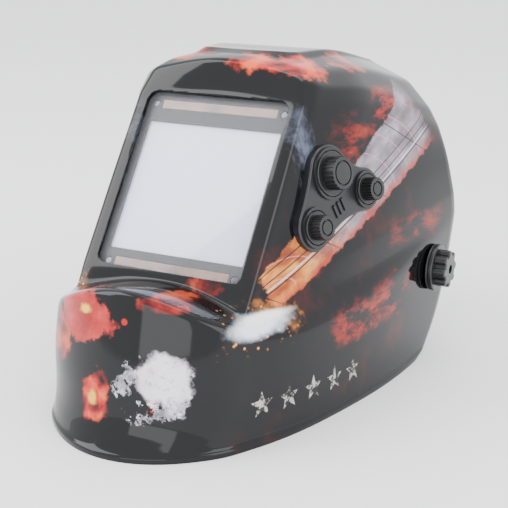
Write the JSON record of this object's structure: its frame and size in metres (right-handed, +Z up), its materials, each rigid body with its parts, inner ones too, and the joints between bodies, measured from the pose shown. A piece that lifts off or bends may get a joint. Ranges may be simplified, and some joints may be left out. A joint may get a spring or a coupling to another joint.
{
  "type": "welding helmet",
  "caption": "Auto-darkening welding helmet with a one-piece shell, slanted filter window, side control pod and tilting ratchet headgear.",
  "frame": {"origin": "centre of the bounding box on the plane the shell's rim stands on", "axes": "-Y is the front with the filter window, +X the wearer's left with the control pod, +Z up when it stands on its rim"},
  "size_m": [0.258, 0.372, 0.2266],
  "materials": {
    "shell": "glossy black with printed artwork",
    "lens_clear": "clear polycarbonate",
    "filter_glass": "mirror-coated filter glass",
    "case_black": "fine texture",
    "solar_cell": "copper-brown cell",
    "sensor": "dark dome",
    "board": "solder mask",
    "cell_steel": "bright",
    "gasket": "soft foam rubber",
    "steel": "zinc plated",
    "brass": "turned",
    "pod_black": "satin black",
    "knob_black": "satin black",
    "cable": "smooth",
    "washer": "acetal",
    "band_black": "fine texture",
    "foam": "soft padded cloth"
  },
  "bodies": {
    "shell": {"helmet_shell": "shell", "front_cover_lens": "lens_clear", "inner_cover_lens": "lens_clear", "darkening_filter": "filter_glass", "cartridge_front_case": "case_black", "cartridge_rear_case": "case_black", "retaining_frame": "case_black", "control_housing": "case_black", "solar_cell_top": "solar_cell", "solar_cell_bottom": "solar_cell", "arc_sensors": "sensor", "filter_board": "board", "control_board": "board", "coin_cells": "cell_steel", "battery_clips": "cell_steel", "cartridge_gasket": "gasket", "retainer_screws": "steel", "control_bracket": "steel", "pivot_stud_left": "steel", "pivot_stud_right": "steel", "stop_plate_left": "steel", "stop_plate_right": "steel", "potentiometer_shade": "steel", "potentiometer_sensitivity": "steel", "potentiometer_delay": "steel", "pot_nuts": "brass", "pod_plate": "pod_black", "control_cable": "cable", "friction_washer_left": "washer", "friction_washer_right": "washer", "outer_washer_left": "washer", "outer_washer_right": "washer"},
    "headgear": {"front_band": "band_black", "sweatband": "foam", "headgear_arm_left": "band_black", "headgear_arm_right": "band_black", "arm_rivets": "steel", "ratchet_backplate": "band_black", "ratchet_housing": "band_black", "nape_pad": "foam", "crown_front_left": "band_black", "crown_front_right": "band_black", "crown_rear_left": "band_black", "crown_rear_right": "band_black", "crown_pegs": "band_black"},
    "shade_control": {"knob_shade": "knob_black", "shaft_shade": "steel"},
    "sensitivity_control": {"knob_sensitivity": "knob_black", "shaft_sensitivity": "steel"},
    "delay_control": {"knob_delay": "knob_black", "shaft_delay": "steel"},
    "tension_knob_left": {"tension_knob_left": "knob_black"},
    "tension_knob_right": {"tension_knob_right": "knob_black"},
    "rear_strap_left": {"rear_strap_left": "band_black"},
    "rear_strap_right": {"rear_strap_right": "band_black"},
    "ratchet": {"ratchet_pinion": "washer", "ratchet_knob": "knob_black"}
  },
  "joints": [
    {"name": "headgear_tilt", "type": "hinge", "parent": "shell", "child": "headgear", "pos_m": [0, 0.078, 0.0645], "axis": [1, 0, 0], "range_deg": [-40, 36]},
    {"name": "shade_turn", "type": "hinge", "parent": "shell", "child": "shade_control", "pos_m": [0.0802, -0.0336, 0.1546], "axis": [0.9482, -0.2541, 0.1908], "range_deg": [-135, 135]},
    {"name": "sensitivity_turn", "type": "hinge", "parent": "shell", "child": "sensitivity_control", "pos_m": [0.09217, -0.00109, 0.1384], "axis": [0.9482, -0.2541, 0.1908], "range_deg": [-135, 135]},
    {"name": "delay_turn", "type": "hinge", "parent": "shell", "child": "delay_control", "pos_m": [0.08044, -0.05592, 0.12368], "axis": [0.9482, -0.2541, 0.1908], "range_deg": [-135, 135]},
    {"name": "tension_turn_left", "type": "hinge", "parent": "shell", "child": "tension_knob_left", "pos_m": [0.12, 0.078, 0.0645], "axis": [1, 0, 0], "range_deg": [0, 360]},
    {"name": "tension_turn_right", "type": "hinge", "parent": "shell", "child": "tension_knob_right", "pos_m": [-0.12, 0.078, 0.0645], "axis": [-1, 0, 0], "range_deg": [0, 360]},
    {"name": "ratchet_turn", "type": "hinge", "parent": "headgear", "child": "ratchet", "pos_m": [0, 0.1639, 0.0825], "axis": [0, -1, 0], "range_deg": [0, 90]},
    {"name": "rear_strap_slide_left", "type": "slide", "parent": "headgear", "child": "rear_strap_left", "axis": [-1, 0, 0], "range_m": [0, 0.0095]},
    {"name": "rear_strap_slide_right", "type": "slide", "parent": "headgear", "child": "rear_strap_right", "axis": [1, 0, 0], "range_m": [0, 0.0095]}
  ],
  "couplings": [
    {"joint": "rear_strap_slide_left", "follows": "ratchet_turn", "m_per_rad": 0.006},
    {"joint": "rear_strap_slide_right", "follows": "ratchet_turn", "m_per_rad": 0.006}
  ]
}
